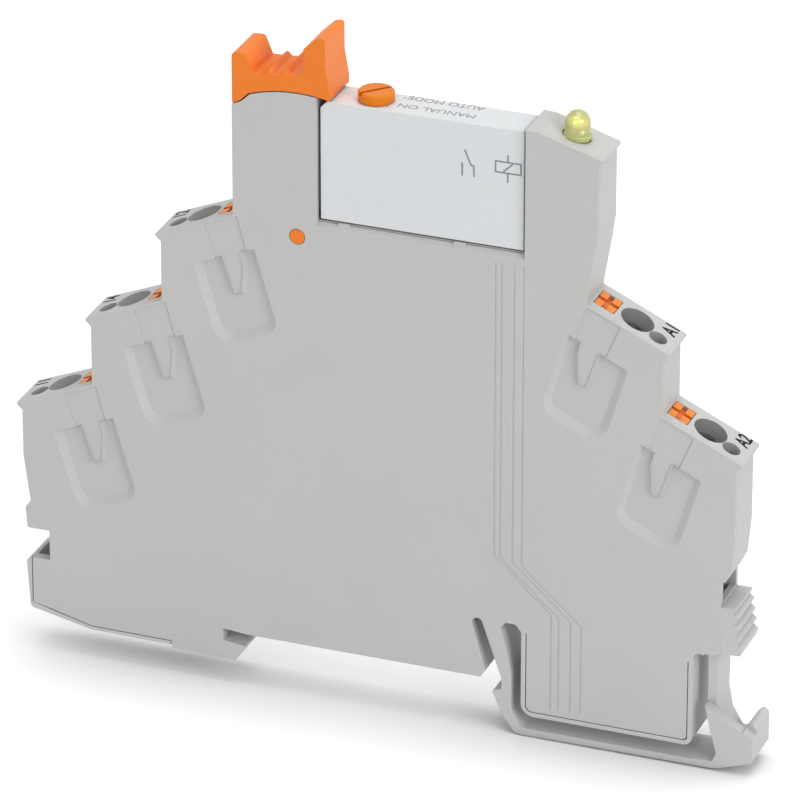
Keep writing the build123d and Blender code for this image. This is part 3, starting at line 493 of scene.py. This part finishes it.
# each finish may carry a painted highlight on its edges and painted shade in its corners
finishes = {
    "greyHousing": mouldedPlastic("greyHousing", {
        **housingGrain, "colour": (0.600, 0.600, 0.590), "spread": 0.018, "rough": 0.52, "shine": 0.42}),
    "greyCover": mouldedPlastic("greyCover", {
        **housingGrain, "colour": (0.590, 0.590, 0.580), "spread": 0.018, "rough": 0.56, "shine": 0.4,
        "edge": 0.12 * mm, "edgeHighlight": 1.0, "corner": coverCornerShade}),
    "orangeLever": mouldedPlastic("orangeLever", {
        "corner": leverCornerShade, "cloudSize": 6 * mm, "grainSize": 0.12 * mm, "grainDepth": 0.003 * mm,
        "edge": 0.2 * mm, "edgeHighlight": 0.35, "edgeHighlightColour": (1.0, 0.42, 0.14),
        "colour": (0.96, 0.236, 0.020), "spread": 0.03, "rough": 0.42, "shine": 0.3,
        "milk": 0.08, "milkDepth": 0.4 * mm}),
    "orangeButton": mouldedPlastic("orangeButton", {
        "corner": orangeCornerShade, "cloudSize": 3 * mm, "grainSize": 0.1 * mm, "grainDepth": 0.003 * mm,
        "edge": 0.1 * mm, "edgeHighlight": 0.4, "edgeHighlightColour": (1.0, 0.50, 0.18),
        "colour": (1.0, 0.285, 0.035), "spread": 0.04, "rough": 0.4, "shine": 0.38,
        "milk": 0.1, "milkDepth": 0.3 * mm}),
    "orangeKnob": mouldedPlastic("orangeKnob", {
        "corner": orangeCornerShade, "cloudSize": 3 * mm, "grainSize": 0.1 * mm, "grainDepth": 0.002 * mm,
        "edge": 0.12 * mm, "edgeHighlight": 0.3, "edgeHighlightColour": (0.95, 0.40, 0.06),
        "colour": (0.82, 0.225, 0.003), "spread": 0.06, "rough": 0.36, "shine": 0.25}),
    "whiteRelay": mouldedPlastic("whiteRelay", {
        "cloudSize": 9 * mm, "grainSize": 0.2 * mm, "grainDepth": 0.0015 * mm, "edge": 0.16 * mm,
        "colour": (0.775, 0.800, 0.815), "spread": 0.012, "rough": 0.34, "shine": 0.5, "milk": 0.1,
        "milkDepth": 0.4 * mm,
        # painted shade in the relay's corners
        "corner": {
            "reach": 1.2 * mm, "closed": 0.1, "clear": 0.86, "full": 0.5, "colour": (0.25, 0.26, 0.27),
        }}),
    "relayFoot": mouldedPlastic("relayFoot", {
        "cloudSize": 4 * mm, "grainSize": 0.1 * mm, "grainDepth": 0.002 * mm, "edge": 0.05 * mm,
        "colour": (0.035, 0.036, 0.038), "spread": 0.1, "rough": 0.5}),
    "bobbinPlastic": mouldedPlastic("bobbinPlastic", {
        "cloudSize": 3 * mm, "grainSize": 0.1 * mm, "grainDepth": 0.002 * mm, "edge": 0.05 * mm,
        "colour": (0.72, 0.68, 0.56), "spread": 0.03, "rough": 0.45}),
    "blackCeramic": mouldedPlastic("blackCeramic", {
        "cloudSize": 2 * mm, "grainSize": 0.06 * mm, "grainDepth": 0.002 * mm, "edge": 0.04 * mm,
        "colour": (0.02, 0.02, 0.022), "spread": 0.2, "rough": 0.5}),
    "tinnedBar": rolledMetal("tinnedBar", {
        "colour": (0.72, 0.66, 0.56), "rough": 0.34, "metal": 1.0, "grainSize": 0.12 * mm,
        "stretch": (0.1, 1.0, 1.0), "grainDepth": 0.002 * mm, "edge": 0.05 * mm}),
    "contactCopper": rolledMetal("contactCopper", {
        "colour": (0.82, 0.45, 0.26), "rough": 0.3, "metal": 1.0, "grainSize": 0.1 * mm,
        "stretch": (1.0, 1.0, 0.1), "grainDepth": 0.002 * mm, "edge": 0.04 * mm}),
    "springSteel": rolledMetal("springSteel", {
        "colour": (0.62, 0.61, 0.59), "rough": 0.28, "metal": 1.0, "grainSize": 0.1 * mm,
        "stretch": (1.0, 0.1, 1.0), "grainDepth": 0.0015 * mm, "edge": 0.04 * mm}),
    "softIron": rolledMetal("softIron", {
        "colour": (0.56, 0.56, 0.55), "rough": 0.4, "metal": 1.0, "grainSize": 0.15 * mm,
        "stretch": (0.2, 1.0, 1.0), "grainDepth": 0.003 * mm, "edge": 0.06 * mm}),
    "tinnedWire": rolledMetal("tinnedWire", {
        "colour": (0.74, 0.73, 0.70), "rough": 0.3, "metal": 1.0, "grainSize": 0.1 * mm,
        "stretch": (1.0, 1.0, 0.15), "grainDepth": 0.0015 * mm, "edge": 0.03 * mm}),
    "enamelledWire": woundWire("enamelledWire", {
        "colour": (0.55, 0.17, 0.05), "metal": 0.6, "turnsPerMetre": 2600.0, "grainDepth": 0.02 * mm}),
    "greenBoard": boardMask("greenBoard", {
        "colour": (0.012, 0.11, 0.045), "trackSize": 1.3 * mm, "grainSize": 0.3 * mm,
        "grainDepth": 0.02 * mm}),
    "lampResin": mouldedPlastic("lampResin", {
        "cloudSize": 2 * mm, "grainSize": 0.2 * mm, "grainDepth": 0.0004 * mm, "edge": 0.0,
        "colour": (0.96, 0.95, 0.36), "spread": 0.04, "rough": 0.06, "shine": 0.6, "clear": 0.5,
        "milk": 0.7, "milkDepth": 1.2 * mm, "coat": 0.5, "coatRough": 0.03}),
    "lampCup": rolledMetal("lampCup", {
        "colour": (0.80, 0.80, 0.45), "rough": 0.3, "metal": 0.8, "grainSize": 0.1 * mm,
        "stretch": (1.0, 1.0, 0.3), "grainDepth": 0.001 * mm}),
    "blackPrint": mouldedPlastic("blackPrint", {
        "cloudSize": 1 * mm, "grainSize": 0.08 * mm, "grainDepth": 0.001 * mm,
        "colour": (0.004, 0.004, 0.005), "spread": 0.2, "rough": 0.6, "shine": 0.15}),
    "greyPrint": mouldedPlastic("greyPrint", {
        "cloudSize": 1 * mm, "grainSize": 0.08 * mm, "grainDepth": 0.001 * mm,
        "colour": (0.26, 0.27, 0.29), "spread": 0.12, "rough": 0.45}),
}

finishOf = {
    "rear_housing": "greyHousing", "side_cover": "greyCover", "retaining_lever": "orangeLever",
    "release_button": "orangeButton", "mode_knob": "orangeKnob", "relay_case": "whiteRelay",
    "relay_base": "relayFoot", "coil_bobbin": "bobbinPlastic", "contact_card": "bobbinPlastic",
    "busbar": "tinnedBar", "clamp_spring": "springSteel", "circuit_board": "greenBoard",
    "coil_socket": "tinnedBar", "status_led": "lampResin", "led_leads": "tinnedWire",
    "series_resistor": "blackCeramic", "bridge_rectifier": "blackCeramic", "coil_winding": "enamelledWire",
    "coil_core": "softIron", "yoke": "softIron", "armature": "softIron", "moving_contact": "contactCopper",
    "common_terminal": "contactCopper", "fixed_contact": "contactCopper", "coil_pin": "tinnedWire",
}


# the longest key that a node's name starts with says its finish
def finishFor(nodeName):
    found = [key for key in finishOf if nodeName.startswith(key)]
    return finishes[finishOf[max(found, key=len)]]


def setFinish(piece, material):
    piece.data.materials.clear()
    piece.data.materials.append(material)


for name, node in nodes.items():
    setFinish(node, finishFor(name))
print("finishes made:", len(finishes))


# moulded edges

softEdges = {
    # node: edge radius and slot in the record
    "retaining_lever": (0.16 * mm, "lever_plastic"),
    "relay_case": (0.14 * mm, "relay_plastic"),
    "mode_knob": (0.07 * mm, "knob_plastic"),
}
softEdgeLook = {
    "angle": 32.0,            # degrees, edges sharper than this are rounded
    "segments": 3,
    "mergeReach": 0.001 * mm,
    "flatAngle": 0.3,         # degrees, triangles flatter than this become one face again
}


# a merged copy of a node with its flat faces whole again and its sharp edges rounded
def softenedCopy(nodeName, radius):
    body = nodes[nodeName]["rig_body"]
    mesh = nodes[nodeName].data.copy()
    if "custom_normal" in mesh.attributes:
        mesh.attributes.remove(mesh.attributes["custom_normal"])
    form = bmesh.new()
    form.from_mesh(mesh)
    bmesh.ops.remove_doubles(form, verts=form.verts, dist=softEdgeLook["mergeReach"])
    flat = math.radians(softEdgeLook["flatAngle"])
    bmesh.ops.dissolve_limit(form, angle_limit=flat, verts=form.verts, edges=form.edges)
    for face in form.faces:
        face.smooth = True
    form.to_mesh(mesh)
    form.free()
    piece = bpy.data.objects.new(nodeName + "Moulded", mesh)
    bpy.context.scene.collection.objects.link(piece)
    rounding = piece.modifiers.new("edges", "BEVEL")
    rounding.width = radius
    rounding.segments = softEdgeLook["segments"]
    rounding.limit_method = "ANGLE"
    rounding.angle_limit = math.radians(softEdgeLook["angle"])
    rounding.use_clamp_overlap = True
    rounding.harden_normals = True
    rounding.miter_outer = "MITER_ARC"
    setFinish(piece, finishFor(nodeName))
    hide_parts(nodeName)
    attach(piece, body)
    return piece


for nodeName, (radius, slotName) in softEdges.items():
    softenedCopy(nodeName, radius)
print("edges rounded on", len(softEdges), "pieces")


# status lamp

lampLook = {
    "radius": 1.5 * mm,
    "below": 4.2 * mm,        # resin below the seat
    "collarHeight": 0.6 * mm,
    "collarRadius": 1.68 * mm,
    "edge": 0.12 * mm,        # rounding of the collar and the foot
    "cupRadius": 0.85 * mm,
    "cupHeight": 0.7 * mm,
    "cupDrop": 1.5 * mm,      # top of the reflector cup below the dome's top
    "cupStem": 0.45,          # the stem's radius as a share of the cup's
    "cupRim": 0.9,            # the rim's and the floor's inner radius as shares of the cup's
    "cupFloor": 0.5,
    "cupHollow": 0.6,         # depth of the hollow as a share of the cup's height
    "steps": 64,
}


# points on a circle in the r, z plane: centre plus radius times the cosine and sine of the angle
def arcPoints(centre, radius, fromAngle, toAngle, count):
    angle = np.radians(np.linspace(fromAngle, toAngle, count))
    return np.stack([centre[0] + radius * np.cos(angle), centre[1] + radius * np.sin(angle)], 1)


# surface of revolution: a point is (r cos t, r sin t, z) about the centre, for each (r, z) of the profile,
# which starts and ends on the axis, where one point closes the surface
def turnedPiece(name, centre, profile, steps):
    turn = np.arange(steps) * 2 * math.pi / steps
    ring = profile[1:-1]
    x = centre[0] + ring[:, :1] * np.cos(turn)
    y = centre[1] + ring[:, :1] * np.sin(turn)
    z = np.repeat(ring[:, 1:], steps, 1)
    points = np.stack([x.ravel(), y.ravel(), z.ravel()], 1)
    ends = np.array([[centre[0], centre[1], profile[0, 1]], [centre[0], centre[1], profile[-1, 1]]])
    row, column = np.meshgrid(np.arange(len(ring) - 1), np.arange(steps), indexing="ij")
    following = (column + 1) % steps
    sides = np.stack([row * steps + column, row * steps + following,
                      (row + 1) * steps + following, (row + 1) * steps + column], -1).reshape(-1, 4)
    first, last = len(points), len(points) + 1
    around = np.arange(steps)
    beyond = (around + 1) % steps
    top = (len(ring) - 1) * steps
    foot = np.stack([np.full(steps, first), beyond, around], 1)
    crown = np.stack([np.full(steps, last), top + around, top + beyond], 1)
    piece = meshPiece(name, np.concatenate([points, ends]), sides.tolist() + foot.tolist() + crown.tolist())
    piece.data.shade_smooth()
    return piece


# resin dome on a collar, with the reflector cup on its post inside
def makeLamp():
    low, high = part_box("status_led")
    centre = ((low.x + high.x) / 2, (low.y + high.y) / 2)
    radius, edge = lampLook["radius"], lampLook["edge"]
    seat = low.z + lampLook["below"]
    collarTop = seat + lampLook["collarHeight"]
    collar = lampLook["collarRadius"]
    dome = high.z - radius
    profile = np.concatenate([
        [[0.0, low.z]],
        arcPoints((radius - edge, low.z + edge), edge, -90, 0, 5),
        [[radius, seat]],
        arcPoints((collar - edge / 2, seat + edge / 2), edge / 2, -90, 0, 4),
        arcPoints((collar - edge, collarTop - edge), edge, 0, 90, 6),
        [[radius, collarTop]],
        [[radius, dome]],
        arcPoints((0.0, dome), radius, 4, 86, 20),
        [[0.0, high.z]],
    ])
    lamp = turnedPiece("lampResinBody", centre, profile, lampLook["steps"])
    setFinish(lamp, finishes["lampResin"])
    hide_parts("status_led")
    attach(lamp, "housing")

    wide, tall = lampLook["cupRadius"], lampLook["cupHeight"]
    top = high.z - lampLook["cupDrop"]
    stem, hollow = wide * lampLook["cupStem"], top - tall * lampLook["cupHollow"]
    cupProfile = np.array([
        [0.0, low.z + edge], [stem, low.z + edge], [stem, top - tall], [wide, top],
        [wide * lampLook["cupRim"], top], [wide * lampLook["cupFloor"], hollow], [0.0, hollow],
    ])
    cup = turnedPiece("lampCup", centre, cupProfile, lampLook["steps"] // 2)
    setFinish(cup, finishes["lampCup"])
    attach(cup, "housing")


makeLamp()
print("status lamp made")


# prints

printLook = {
    "lift": 0.012 * mm,           # top of the ink above the plastic
    "sink": 0.004 * mm,           # and its foot below it
    "numberHeight": 1.85 * mm,
    "numberNarrow": 0.80,         # width of the figures against the plain font
    "numberBold": 0.025,
    # centre of the number: down the face from the wire hole, and towards the plain side
    "leftPlace": (4.05 * mm, 1.95 * mm),
    "rightPlace": (3.7 * mm, 1.85 * mm),
    "holeDepth": 2.35 * mm,       # the wire entry's mount lies this far below the face
}

relayPrint = {
    "lineWidth": 0.2 * mm,
    # x and z of each stroke on the front, in millimetres
    "contactBlade": [(12.43, 67.75), (13.22, 65.9), (13.54, 65.85), (13.6, 64.5)],
    "contactFixed": [(12.14, 66.1), (12.14, 64.45)],
    "coilBox": [(16.2, 66.95), (19.3, 66.95), (19.3, 65.6), (16.2, 65.6)],
    "coilStroke": [(18.3, 66.8), (17.15, 65.75)],
    "coilLeadTop": [(17.7, 67.9), (17.7, 67.0)],
    "coilLeadFoot": [(17.7, 65.55), (17.7, 64.4)],
    # words on the top, read from behind: centre x, centre y, height and length in millimetres
    "words": {"AUTO MODE": (8.6, 1.68, 1.05, 9.4), "MANUAL ON": (8.3, -0.7, 1.05, 9.4)},
    "dots": [(3.55, 1.45), (2.55, -1.6)],    # x and y of the marks beside the knob
    "dotRadius": 0.14 * mm,
}


# flat letters: a glyph's x runs along the baseline and its y upward, about the centre
def textPiece(name, words, height, length, centre, baseline, upward, narrow, bold):
    curve = bpy.data.curves.new(name, "FONT")
    curve.body = words
    curve.size = 1.0
    curve.offset = bold
    curve.extrude = 0.5
    curve.resolution_u = 6
    helper = bpy.data.objects.new(name + "Font", curve)
    bpy.context.scene.collection.objects.link(helper)
    bpy.context.view_layer.update()
    mesh = bpy.data.meshes.new_from_object(helper.evaluated_get(bpy.context.evaluated_depsgraph_get()))
    bpy.data.objects.remove(helper)
    flat = np.zeros(len(mesh.vertices) * 3)
    mesh.vertices.foreach_get("co", flat)
    flat = flat.reshape(-1, 3)
    low, high = flat.min(0), flat.max(0)
    scaleUp = height / (high[1] - low[1])
    scaleAlong = length / (high[0] - low[0]) if length else scaleUp * narrow
    along = (flat[:, 0] - (low[0] + high[0]) / 2) * scaleAlong
    up = (flat[:, 1] - (low[1] + high[1]) / 2) * scaleUp
    out = np.where(flat[:, 2] > 0, printLook["lift"], -printLook["sink"])
    normal = np.cross(baseline, upward)
    placed = np.array(centre) + np.outer(along, baseline) + np.outer(up, upward) + np.outer(out, normal)
    mesh.vertices.foreach_set("co", placed.ravel())
    mesh.update()
    mesh.name = name
    piece = bpy.data.objects.new(name, mesh)
    bpy.context.scene.collection.objects.link(piece)
    return piece


# a flat stroke: at each point of the route the two sides stand half the width off along the mitre,
# and the section's four corners are joined from point to point
def strokePiece(name, route, width, normal, closed=False):
    path = np.array(route, float)
    ahead = np.roll(path, -1, 0) - path
    behind = path - np.roll(path, 1, 0)
    if not closed:
        ahead[-1] = behind[-1]
        behind[0] = ahead[0]
    ahead /= np.linalg.norm(ahead, axis=1)[:, None]
    behind /= np.linalg.norm(behind, axis=1)[:, None]
    side = np.cross(normal, ahead) + np.cross(normal, behind)
    side /= np.linalg.norm(side, axis=1)[:, None]
    mitre = np.sum(side * np.cross(normal, ahead), 1)
    reach = side * (width / 2 / mitre)[:, None]
    top = np.array(normal) * printLook["lift"]
    foot = np.array(normal) * printLook["sink"]
    rows = np.stack([path + reach + top, path - reach + top, path - reach - foot, path + reach - foot], 1)
    count = len(path)
    start = np.arange(count if closed else count - 1)[:, None] * 4
    corner = np.arange(4)[None, :]
    beyond = (corner + 1) % 4
    following = (start + 4) % (4 * count)
    sides = np.stack([start + corner, start + beyond, following + beyond, following + corner], -1)
    faces = sides.reshape(-1, 4).tolist()
    if not closed:
        last = 4 * (count - 1)
        faces += [[3, 2, 1, 0], [last, last + 1, last + 2, last + 3]]
    return meshPiece(name, rows.reshape(-1, 3), faces)


# closes a printed piece, turns its faces outward and lets it ride on its body
def finishPrint(piece, material, body):
    form = bmesh.new()
    form.from_mesh(piece.data)
    bmesh.ops.remove_doubles(form, verts=form.verts, dist=0.0001 * mm)
    bmesh.ops.recalc_face_normals(form, faces=form.faces)
    form.to_mesh(piece.data)
    form.free()
    setFinish(piece, material)
    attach(piece, body)


# each number lies on its sloping face, between the test hole and the plain side
def makeTerminalNumbers():
    for label in ("12", "14", "11", "a1", "a2"):
        mount = mounts["wire_entry_" + label]
        out = np.array(mount["axis"])
        # from the hole to the nose
        down = np.array([out[2], 0.0, -out[0]]) * math.copysign(1.0, out[0])
        across = np.array([0.0, 1.0, 0.0])
        if out[0] > 0:
            (fromHole, aside), upward = printLook["rightPlace"], -down
        else:
            (fromHole, aside), upward = printLook["leftPlace"], down
        centre = np.array(mount["pos_m"]) + out * printLook["holeDepth"]
        centre = centre + down * fromHole + across * aside
        piece = textPiece("number" + label.upper(), label.upper(), printLook["numberHeight"], None, centre,
                          across, upward, printLook["numberNarrow"], printLook["numberBold"])
        finishPrint(piece, finishes["blackPrint"], "housing")


# contact and coil signs on the front of the relay, words and marks on its top
def makeRelayPrint():
    low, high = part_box("relay_case")
    face = np.array([0.0, -1.0, 0.0])

    def onFace(points):
        return [(x * mm, low.y, z * mm) for x, z in points]

    # a box closes on itself, the other strokes have two ends
    for stroke in ("contactBlade", "contactFixed", "coilBox", "coilStroke", "coilLeadTop", "coilLeadFoot"):
        route = onFace(relayPrint[stroke])
        piece = strokePiece(stroke + "Sign", route, relayPrint["lineWidth"], face, stroke == "coilBox")
        finishPrint(piece, finishes["greyPrint"], "relay")
    for words, (x, y, height, length) in relayPrint["words"].items():
        name = words.title().replace(" ", "") + "Words"
        piece = textPiece(name, words, height * mm, length * mm, (x * mm, y * mm, high.z),
                          np.array([-1.0, 0.0, 0.0]), np.array([0.0, -1.0, 0.0]), 1.0, 0.0)
        finishPrint(piece, finishes["greyPrint"], "relay")
    radius = relayPrint["dotRadius"]
    foot, top = high.z - printLook["sink"], high.z + printLook["lift"]
    profile = np.array([[0.0, foot], [radius, foot], [radius, top], [0.0, top]])
    for number, (x, y) in enumerate(relayPrint["dots"], 1):
        dot = turnedPiece("knobMark" + str(number), (x * mm, y * mm), profile, 20)
        finishPrint(dot, finishes["greyPrint"], "relay")


makeTerminalNumbers()
makeRelayPrint()
print("numbers and signs printed")
